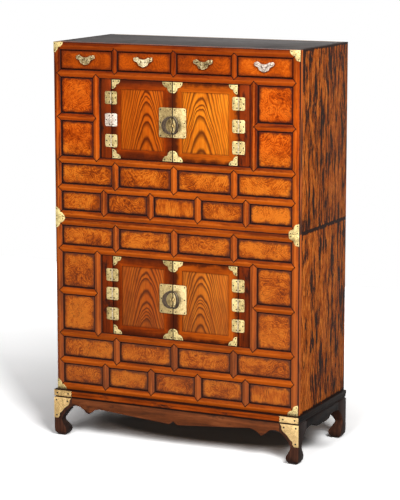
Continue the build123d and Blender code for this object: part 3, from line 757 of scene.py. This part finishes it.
def raised_panel(bm, low, high, skirt, look, rand, radius, drop):
    """A raised panel with a worn, rounded field, which begins a skirt inside its outline."""
    x0, x1, z0, z1 = low.x + skirt, high.x - skirt, low.z + skirt, high.z - skirt
    vectors = bm.verts.layers.float_vector.get("look") or bm.verts.layers.float_vector.new("look")
    shift = three_random(rand) * 20
    straight, bright = look
    grid = []
    for x in spread(x0, x1, ROUND_STEPS, PANEL_GRID):
        column = []
        for z in spread(z0, z1, ROUND_STEPS, PANEL_GRID):
            wear = 1 + 0.5 * noise.noise(Vector((x, 0, z)) * 45 + shift)
            dx, dz = min(x - x0, x1 - x), min(z - z0, z1 - z)
            fall = 0
            for d in (dx, dz):
                t = max(0.0, 1 - d / (radius * wear))
                fall += drop * (1 - math.sqrt(max(0.0, 1 - t * t)))
            swell = SWELL * (0.5 + 0.5 * noise.noise(Vector((x, 0, z)) * 18 + shift))
            wobble = WOBBLE * noise.noise(Vector((x, 5, z)) * 55 + shift)
            pull_x = wobble if dx < MM else 0
            pull_z = wobble if dz < MM else 0
            y = FRONT + EAVE + min(fall + swell, DEEPEST)
            v = bm.verts.new((x + pull_x, y, z + pull_z))
            in_x, in_z = max(0.0, CORNER - dx), max(0.0, CORNER - dz)
            inward = CORNER - math.hypot(in_x, in_z) if in_x and in_z else min(dx, dz)
            v[vectors] = (straight, inward, bright)
            column.append(v)
        grid.append(column)
    for left, right in zip(grid, grid[1:]):
        for j in range(len(left) - 1):
            bm.faces.new((left[j], right[j], right[j + 1], left[j + 1]))

    def ring(points):
        made = [bm.verts.new(point) for point in points]
        for v in made:
            v[vectors] = (straight, 0, bright)
        return made

    def outward(value, start, end):
        return value - skirt if value < start + MM else value + skirt if value > end - MM else value

    loop = [c[0] for c in grid] + grid[-1][1:] + [c[-1] for c in grid[-2::-1]] + grid[0][-2:0:-1]
    base = ring((v.co.x, TONGUE_FACE, v.co.z) for v in loop)
    outer = ring(
        (outward(v.co.x, x0, x1), TONGUE_FACE, outward(v.co.z, z0, z1)) for v in loop
    )
    rear = ring((v.co.x, TONGUE_FACE + PANEL_BACK, v.co.z) for v in outer)
    count = len(loop)
    for ring_a, ring_b in ((loop, base), (base, outer), (outer, rear)):
        for i in range(count):
            k = (i + 1) % count
            bm.faces.new((ring_a[i], ring_b[i], ring_b[k], ring_a[k]))
    bm.faces.new(rear)


# the materials of the doors' brass, in their order; the other brass has the first two of them
PLAIN, HEADS, KNUCKLE, SILVER, FAIR, LOCK = range(6)
NAIL_SIDES = 10
NAIL_DOME = ((1.0, 0.0), (0.92, 0.45), (0.62, 0.86))  # shares of the radius and the height


def nail_head(bm, centre, radius, height):
    """A domed nail head on a surface that faces -Y."""
    rings = []
    for share, rise in NAIL_DOME:
        ring = []
        for i in range(NAIL_SIDES):
            a = 2 * math.pi * i / NAIL_SIDES
            x = centre[0] + radius * share * math.cos(a)
            z = centre[2] + radius * share * math.sin(a)
            ring.append(bm.verts.new((x, centre[1] - height * rise, z)))
        rings.append(ring)
    top = bm.verts.new((centre[0], centre[1] - height, centre[2]))
    faces = []
    for i in range(NAIL_SIDES):
        k = (i + 1) % NAIL_SIDES
        faces += [bm.faces.new((a[i], a[k], b[k], b[i])) for a, b in zip(rings, rings[1:])]
        faces.append(bm.faces.new((rings[-1][i], rings[-1][k], top)))
    faces.append(bm.faces.new(rings[0][::-1]))
    for f in faces:
        f.material_index = HEADS


HINGE_NAILS = ((6.2, -14), (6.2, 14), (16.5, 0))  # from the hinge's axis and its middle, in mm
# from the seam and the lock's middle, in mm
LOCK_NAILS = ((8, -41), (41.5, -41), (8, 41), (41.5, 41), (41.5, 0))
CORNER_NAILS = ((0.80, 0.14), (0.14, 0.80), (0.17, 0.17))  # shares of a corner plate's size
KNUCKLE_REACH = 2.4 * MM


def corner_spots(low, high, centre, y):
    """Nail places on a corner plate: near its two tips and near its square corner."""
    size, middle = high.x - low.x, (low + high) / 2
    x, to_x = (low.x, 1) if middle.x < centre.x else (high.x, -1)
    z, to_z = (low.z, 1) if middle.z < centre.z else (high.z, -1)
    return [(x + to_x * u * size, y, z + to_z * v * size) for u, v in CORNER_NAILS]


def door_brass(node, name, materials, body, door_centre=None):
    """Hinge leaves, corner plates and half a lock plate, with their nails."""
    bm = cad_mesh(node)
    soften(bm, 0.25 * MM)
    for side in (-1, 1):
        cut(bm, 0, SEAM + side * SEAM_SHADE)
    spots = []
    for shell in islands(bm):
        low, high = shell_box(shell)
        height, middle = high.z - low.z, (low + high) / 2
        metal = FAIR if middle.x > 0 else PLAIN
        knuckle_x = None
        if abs(height - HINGE_HEIGHT) < 1 * MM:
            knuckle_x = math.copysign(HINGE_AXIS, middle.x)
            start, y, nails = knuckle_x, DOOR_FRONT - BRASS, HINGE_NAILS
            if middle.x < 0 and abs(middle.z - SILVER_HINGE) < 5 * MM:
                metal, knuckle_x = SILVER, None
        elif abs(height - LOCK_HEIGHT) < 1 * MM:
            metal, start, y, nails = LOCK, SEAM, DOOR_FRONT - LOCK_THICK, LOCK_NAILS
        else:
            spots += corner_spots(low, high, door_centre, DOOR_FRONT - BRASS)
            start, y, nails = 0, 0, ()
        away = math.copysign(1, middle.x - start)
        spots += [(start + away * u * MM, y, middle.z + v * MM) for u, v in nails]
        for face in shell:
            x = face.calc_center_median().x
            # the knuckles take the paler brass as a painted highlight, with wear
            near = knuckle_x is not None and abs(x - knuckle_x) < KNUCKLE_REACH
            # brass beside the doors' seam takes the dark nail metal as painted shade
            in_seam_shade = abs(x - SEAM) < SEAM_SHADE
            face.material_index = HEADS if in_seam_shade else KNUCKLE if near else metal
    for spot in spots:
        nail_head(bm, spot, NAIL, NAIL_HEIGHT)
    piece(name, bm, materials, body, node, smooth=50)


CASE_PLATE = 35 * MM  # size of a corner plate on a case
CASE_NAIL_HEIGHT, SUNK = 0.8 * MM, 0.3 * MM  # a nail's height, and its part in the plate


def case_corner_brass(node, name, materials, body):
    """Plates bent over the ridges at a case's corners."""
    bm = cad_mesh(node)
    soften(bm, 0.2 * MM)
    case_low, case_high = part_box(node)
    inset = CORNER_NAILS[0][1] * CASE_PLATE
    fall = EAVE * (1 - inset / BAR_HALF)  # of the bars' faces, where the nails are
    y = FRONT + fall - BRASS + SUNK
    spots = []
    for shell in islands(bm):
        spots += corner_spots(*shell_box(shell), (case_low + case_high) / 2, y)
    for spot in spots:
        nail_head(bm, spot, NAIL, CASE_NAIL_HEIGHT)
    piece(name, bm, materials, body, node, smooth=50)


# ---------------------------------------- materials

BAR_TONES = (srgb(206, 94, 14), srgb(164, 66, 7), srgb(100, 34, 4))
rail_x = bar_wood("rail_wood", "X", *BAR_TONES)
rail_z = bar_wood("post_wood", "Z", *BAR_TONES)
joint_dirt = flat_wood(
    "joint_dirt", "Y", srgb(66, 34, 22), srgb(46, 24, 18), srgb(30, 18, 16), rough=(0.5, 0.7)
)
burl = burl_wood("burl_panel", srgb(50, 34, 36), 0.82, 1.35, 6 * MM, (0.3, 0.8))
drawer_burl = burl_wood("drawer_burl", srgb(64, 22, 14), 0.42, 0.55, 11 * MM, (0.6, 0.96))
jamb_wood = flat_wood(
    "jamb_wood", "Z", srgb(168, 64, 16), srgb(124, 46, 12), srgb(66, 28, 12),
    soil=srgb(36, 22, 18), rough=(0.36, 0.5),
)
sides_wood = streaked_wood("side_board_wood")
top_wood = flat_wood(
    "top_board_wood", "X", srgb(112, 104, 100), srgb(84, 78, 76), srgb(58, 52, 50),
    soil=srgb(44, 38, 36), soil_at=(0.55, 0.75), rough=(0.5, 0.7),
)
PLAIN_WOOD = (srgb(196, 158, 112), srgb(168, 128, 86), srgb(128, 92, 60))
plain_x = flat_wood("plain_wood_x", "X", *PLAIN_WOOD)
back_x = flat_wood("back_wood_x", "X", srgb(240, 204, 160), srgb(214, 172, 126), srgb(168, 126, 88))
plain_y = flat_wood("plain_wood_y", "Y", *PLAIN_WOOD)
# the moulding's joints with the case and with the apron take painted shadow lines
mould_low, mould_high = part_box("stand_top_frame")
stand_x = flat_wood(
    "stand_wood_x", "X", srgb(204, 92, 22), srgb(156, 64, 12), srgb(90, 36, 12),
    soil=srgb(40, 28, 24), soil_at=(0.52, 0.72), rough=(0.36, 0.5),
    lines=(mould_low.z, mould_high.z),
)
apron_x = flat_wood(
    "apron_wood_x", "X", srgb(156, 88, 50), srgb(122, 65, 36), srgb(76, 44, 29),
    soil=srgb(44, 30, 26), soil_at=(0.52, 0.72), rough=(0.4, 0.55),
    lines=(mould_low.z,),
)
stand_y = flat_wood(
    "stand_wood_y", "Y", srgb(44, 30, 24), srgb(30, 23, 20), srgb(20, 16, 16),
    soil=srgb(15, 13, 13), soil_at=(0.45, 0.65), rough=(0.42, 0.56),
)
stand_z = flat_wood(
    "stand_wood_z", "Z", srgb(104, 64, 46), srgb(72, 44, 34), srgb(46, 30, 26),
    soil=srgb(32, 24, 22), rough=(0.34, 0.48),
)
flank_z = flat_wood(
    "stand_flank_wood", "Z", srgb(66, 46, 38), srgb(44, 32, 28), srgb(28, 22, 20),
    soil=srgb(22, 18, 18), rough=(0.34, 0.48),
)
brass = brass_metal("aged_brass", srgb(228, 206, 148), srgb(198, 174, 114), srgb(132, 107, 62))
pale = brass_metal("pale_metal", srgb(248, 234, 218), srgb(220, 203, 186), srgb(144, 125, 112))
# paler brass for the hinge knuckles: wear, with a painted highlight along them
bright_brass = brass_metal(
    "worn_brass", srgb(222, 208, 182), srgb(196, 180, 150), srgb(140, 122, 94), (0.5, 0.68)
)
bronze = worn_bronze("pull_bronze", srgb(226, 206, 168))  # the crescents
bail_brass = brass_metal(
    "bail_brass", srgb(246, 230, 186), srgb(166, 140, 92), srgb(52, 38, 24), (0.28, 0.42), 0.85
)
nail = dark_metal("nail_heads", srgb(46, 36, 26), srgb(18, 14, 12))
# the left lock half is darker, and its darkening reaches further, as painted shade from its
# crescent
lock_brass = {
    "left": brass_metal(
        "left_lock_brass", srgb(220, 196, 138), srgb(190, 163, 107), srgb(124, 99, 61),
        tarnish_and_shade_reach=8 * MM,
    ),
    "right": brass_metal(
        "right_lock_brass", srgb(246, 222, 164), srgb(222, 196, 136), srgb(156, 130, 82),
        tarnish_and_shade_reach=6 * MM,
    ),
}
fair_brass = brass_metal(
    "fair_brass", srgb(248, 228, 164), srgb(228, 203, 137), srgb(156, 130, 80)
)
stand_brass = brass_metal(
    "stand_plate_brass", srgb(254, 220, 156), srgb(230, 192, 126), srgb(160, 126, 76)
)
DOOR_METALS = [brass, nail, bright_brass, pale, fair_brass]  # PLAIN to FAIR; LOCK comes last

DOOR_TONES = (srgb(234, 130, 32), srgb(202, 93, 18), srgb(90, 35, 13))
FRAME_TONES = (srgb(226, 108, 24), srgb(186, 80, 14), srgb(124, 48, 10))
# each door panel's centre line, the levels of its arches, their bend, and its colour level
door_figures = {
    "upper_left_door_panel": (-97, (997, 1053, 1077, 1118, 1135, 1148), 0.070, (0.85, 0.65, 0.46)),
    "upper_right_door_panel": (93, (970, 1027, 1082, 1106, 1117), 0.058, (1.22, 1.34, 1.05)),
    "lower_left_door_panel": (-102, (420, 430, 442, 453, 470, 507, 553), 0.056, (0.80, 0.65, 0.54)),
    "lower_right_door_panel": (92, (413, 450, 473, 487, 497, 507, 550), 0.060, (1.02, 1.03, 0.98)),
}


def scaled(tones, level):
    return [(*[c * share for c, share in zip(tone, level)], 1.0) for tone in tones]


def door_frame_wood(name, axis, level, rim):
    return flat_wood(
        name, axis, *scaled(FRAME_TONES, level),
        soil=srgb(58, 24, 14), soil_at=(0.62, 0.86), rough=(0.34, 0.48), rim=rim, tight=0.75,
    )


# ---------------------------------------- cases

EASE = 3 * MM  # how far the worn fields come out over the panels' margins
PANEL_ROUND, PANEL_DROP = 7.5 * MM, 3.4 * MM  # radius and fall of a field's worn edge
DRAWER_ROUND, DRAWER_DROP = 3.2 * MM, 2.2 * MM
STRAIGHT_PANEL = 2  # the third panel from the left in the bottom row

for case in ("lower", "upper"):
    body = f"{case}_case"
    for kind in ("rails", "posts", "stiles"):
        node = f"{case}_{kind}"
        bars(node, f"{case}_{kind}_planed", [rail_x, rail_z, joint_dirt], body)
    dressed(f"{case}_jambs", f"{case}_door_lining", jamb_wood, body)
    dressed(f"{case}_sides", f"{case}_side_boards", sides_wood, body, 0.8 * MM)
    for node, material in ((f"{case}_back", back_x), (f"{case}_bottom", plain_x)):
        dressed(node, f"{node}_board", material, body)
    top, top_slot = (top_wood, "top_board") if case == "upper" else (plain_x, "inner_wood")
    dressed(f"{case}_top", f"{case}_top_board", top, body)

    bm = bmesh.new()
    rand = random.Random(f"{case} panels")
    skirt = TONGUE + MARGIN - EASE
    for index, (low, high) in enumerate(node_boxes(f"{case}_panels")):
        middle = (low.x + high.x) / 2
        bright = 0.65 + 0.03 * middle / (400 * MM) + 0.26 * (rand.random() - 0.5)
        look = (1.0, bright + 0.30) if index == STRAIGHT_PANEL else (0.0, bright)
        raised_panel(bm, low, high, skirt, look, rand, PANEL_ROUND, PANEL_DROP)
    piece(f"{case}_burl_panels", bm, burl, body, f"{case}_panels", smooth=50)

dressed("dust_board", "dust_shelf", plain_x, "upper_case")
dressed("drawer_partitions", "drawer_partition_boards", plain_y, "upper_case")

# ---------------------------------------- drawers

for number in (1, 2, 3, 4):
    body = f"drawer_{number}"
    low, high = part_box(f"{body}_front")
    bm = bmesh.new()
    rand = random.Random(body)
    look = (0.0, (0.50 if number == 4 else 0.32) + 0.1 * rand.random())
    raised_panel(bm, low, high, DRAWER_EDGE, look, rand, DRAWER_ROUND, DRAWER_DROP)
    piece(f"{body}_burl_front", bm, drawer_burl, body, f"{body}_front", smooth=50)
    dressed(f"{body}_box", f"{body}_tray", plain_y, body)
    finish = pale if number == 4 else bail_brass
    dressed(f"{body}_posts", f"{body}_pull_posts", finish, body, 0.3 * MM)
    dressed(f"{body}_pull", f"{body}_bat_bail", finish, f"{body}_bail", 0.35 * MM)

# ---------------------------------------- doors

# how far the rim of grime and painted shade is shifted, how far it reaches, both in mm, and the
# frame's brightness
FRAME_LOOKS = {"left": (4, 40, 1.0), "right": (8, 17, 0.88)}


def on_door_front(edge):
    return all(v.co.y < DOOR_FRONT + 1 * MM for v in edge.verts)


for case in ("lower", "upper"):
    for side in ("left", "right"):
        body = f"{case}_{side}_door"
        centre, apexes, bend, level = door_figures[f"{body}_panel"]
        low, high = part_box(f"{body}_frame")
        shift, reach, share = FRAME_LOOKS[side]
        rim = (low + Vector((shift, 0, 0)) * MM, high, reach * MM)
        frame_level = [c * share for c in level]
        rail = door_frame_wood(f"{body}_rail_wood", "X", frame_level, rim)
        stile = door_frame_wood(f"{body}_stile_wood", "Z", frame_level, rim)
        bm = mitred(f"{body}_frame", 0.5 * MM, 2, on_door_front)
        piece(f"{body}_members", bm, [rail, stile], body, f"{body}_frame")
        tones = scaled(DOOR_TONES, level)
        wood = arched_wood(f"{body}_panel_wood", centre, apexes, bend, *tones)
        dressed(f"{body}_panel", f"{body}_board", wood, body)
        metals = DOOR_METALS + [lock_brass[side]]
        door_brass(f"{body}_fittings", f"{body}_brass", metals, body, (low + high) / 2)
        dressed(f"{body}_pull", f"{body}_crescent_pull", bronze, f"{body}_crescent")
    body = f"{case}_case"
    door_brass(f"{case}_hinge_leaves", f"{case}_fixed_leaves", DOOR_METALS, body)
    plates = f"{case}_corner_plates"
    case_corner_brass(plates, f"{case}_corner_brass", [fair_brass, nail], body)

# ---------------------------------------- stand

# from a front corner's edge and from the floor, in mm: two on the band plate, three on the knee
STAND_NAILS = ((13, 145.5), (53, 145.5), (9, 121), (50, 120), (10, 70))


def straight_edge(edge):
    """Not one of the slanting edges of a mitre."""
    run = edge.verts[1].co - edge.verts[0].co
    return abs(run.x) < MM / 100 or abs(run.y) < MM / 100


bm = mitred("stand_top_frame", 0.8 * MM, 1, straight_edge)
piece("stand_moulding", bm, [stand_x, stand_y], "stand", "stand_top_frame")

bm = cad_mesh("stand_aprons")
soften(bm, 0.8 * MM)
for shell in islands(bm):
    low, high = shell_box(shell)
    for face in shell:
        face.material_index = 0 if high.x - low.x > high.y - low.y else 1
piece("stand_scalloped_aprons", bm, [apron_x, stand_y], "stand", "stand_aprons")

bm = cad_mesh("stand_legs")
soften(bm, 1.2 * MM)
for face in bm.faces:
    face.material_index = 1 if abs(face.normal.x) > abs(face.normal.y) else 0
piece("stand_shaped_legs", bm, [stand_z, flank_z], "stand", "stand_legs")

bm = cad_mesh("stand_plates")
soften(bm, 0.3 * MM)
plates_low, plates_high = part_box("stand_plates")
for side, edge_x in ((-1, plates_low.x), (1, plates_high.x)):
    for u, z in STAND_NAILS:
        spot = (edge_x - side * u * MM, plates_low.y, z * MM)
        nail_head(bm, spot, STAND_NAIL, NAIL_HEIGHT)
piece("stand_brass", bm, [stand_brass, nail], "stand", "stand_plates")

# ---------------------------------------- stage, light and camera

FLOOR_HALF = 2.6  # in metres, as are the places of the lamps

floor_mesh = bpy.data.meshes.new("floor")
bm = bmesh.new()
bmesh.ops.create_grid(bm, x_segments=8, y_segments=8, size=FLOOR_HALF)
bm.to_mesh(floor_mesh)
bm.free()
floor = bpy.data.objects.new("floor", floor_mesh)
bpy.context.scene.collection.objects.link(floor)
s = Shader("pale_floor")
paper = s.noise(s.place(), 2.0, 2, 0.5)
tone = s.ramp(paper, [(0.3, (0.38, 0.38, 0.38, 1)), (0.7, (0.41, 0.41, 0.41, 1))])
camera_ray, mirrored = s.rays()
seen = s.math("MAXIMUM", camera_ray, s.math("MULTIPLY", mirrored, 0.3))
# to the camera the floor is lifted towards white; lifted less near the chest, it is painted darker
# there, and a painted shadow patch lies under the chest
lift = s.step(s.vec("LENGTH", s.place()), 0.5, 2.3, 3.3, 14.5, smooth=False)
under = s.vec("MULTIPLY", s.vec("SUBTRACT", s.place(), (0, 0.07, 0)), (0.5, 1.6, 1))
lift = s.math("MULTIPLY", lift, s.step(s.vec("LENGTH", under), 0.16, 0.235, 0.02, 1.1))
colour = s.times(tone, s.math("MULTIPLY_ADD", seen, lift, 1.0))
s.put(s.out.inputs[0], s.node("BsdfDiffuse", {"Color": colour}).outputs[0])
floor_mesh.materials.append(s.mat)

world = bpy.data.worlds.new("studio")
world.use_nodes = True
bpy.context.scene.world = world
w = Nodes(world.node_tree, "OutputWorld")
# a soft glow from the front lights the chest; the camera and reflections see plain white
facing = w.vec("DOT_PRODUCT", w.node("TexCoord").outputs["Generated"], (0.15, -0.95, 0.25))
soft = w.step(facing, 0.1, 0.9, 0.004, 0.30, smooth=False)
glow, plain = [
    w.node("Background", {"Color": (1, 1, 1, 1), "Strength": k}).outputs[0] for k in (soft, 1.0)
]
sky = w.node("MixShader", {0: w.math("MAXIMUM", *w.rays()), 1: glow, 2: plain})
w.put(w.out.inputs[0], sky.outputs[0])


def lamp(name, place, target, size, power):
    data = bpy.data.lights.new(name, "AREA")
    data.shape = "RECTANGLE"
    data.size = data.size_y = size
    data.energy = power
    made = bpy.data.objects.new(name, data)
    made.location = place
    made.rotation_mode = "QUATERNION"
    made.rotation_quaternion = (Vector(target) - Vector(place)).to_track_quat("-Z", "Y")
    bpy.context.scene.collection.objects.link(made)


lamp("key", (2.75, -2.85, 2.9), (0, 0, 0.7), 1.4, 168)
lamp("fill", (0.2, -3.7, 3.0), (0, 0, 0.7), 1.6, 52)
lamp("rear", (-1.5, 4.5, 2.0), (0, 0, 0.8), 1.5, 9)

CAMERA = Vector((2846.7, -5906.0, 1776.5)) * MM
YAW, PITCH, ROLL = math.radians(25.717), math.radians(9.971), math.radians(-0.038)
camera_data = bpy.data.cameras.new("camera")
camera_data.sensor_width = 36
camera_data.lens = 147.19
camera_data.clip_end = 60
camera = bpy.data.objects.new("camera", camera_data)
back = Vector(
    (math.sin(YAW) * math.cos(PITCH), -math.cos(YAW) * math.cos(PITCH), math.sin(PITCH))
)
right = Vector((math.cos(YAW), math.sin(YAW), 0))
up = back.cross(right)
right, up = (
    right * math.cos(ROLL) + up * math.sin(ROLL),
    up * math.cos(ROLL) - right * math.sin(ROLL),
)
turn = Matrix((right, up, back)).transposed().to_4x4()
camera.matrix_world = Matrix.Translation(CAMERA) @ turn
bpy.context.scene.collection.objects.link(camera)
bpy.context.scene.camera = camera

bpy.context.scene.view_settings.view_transform = "Standard"
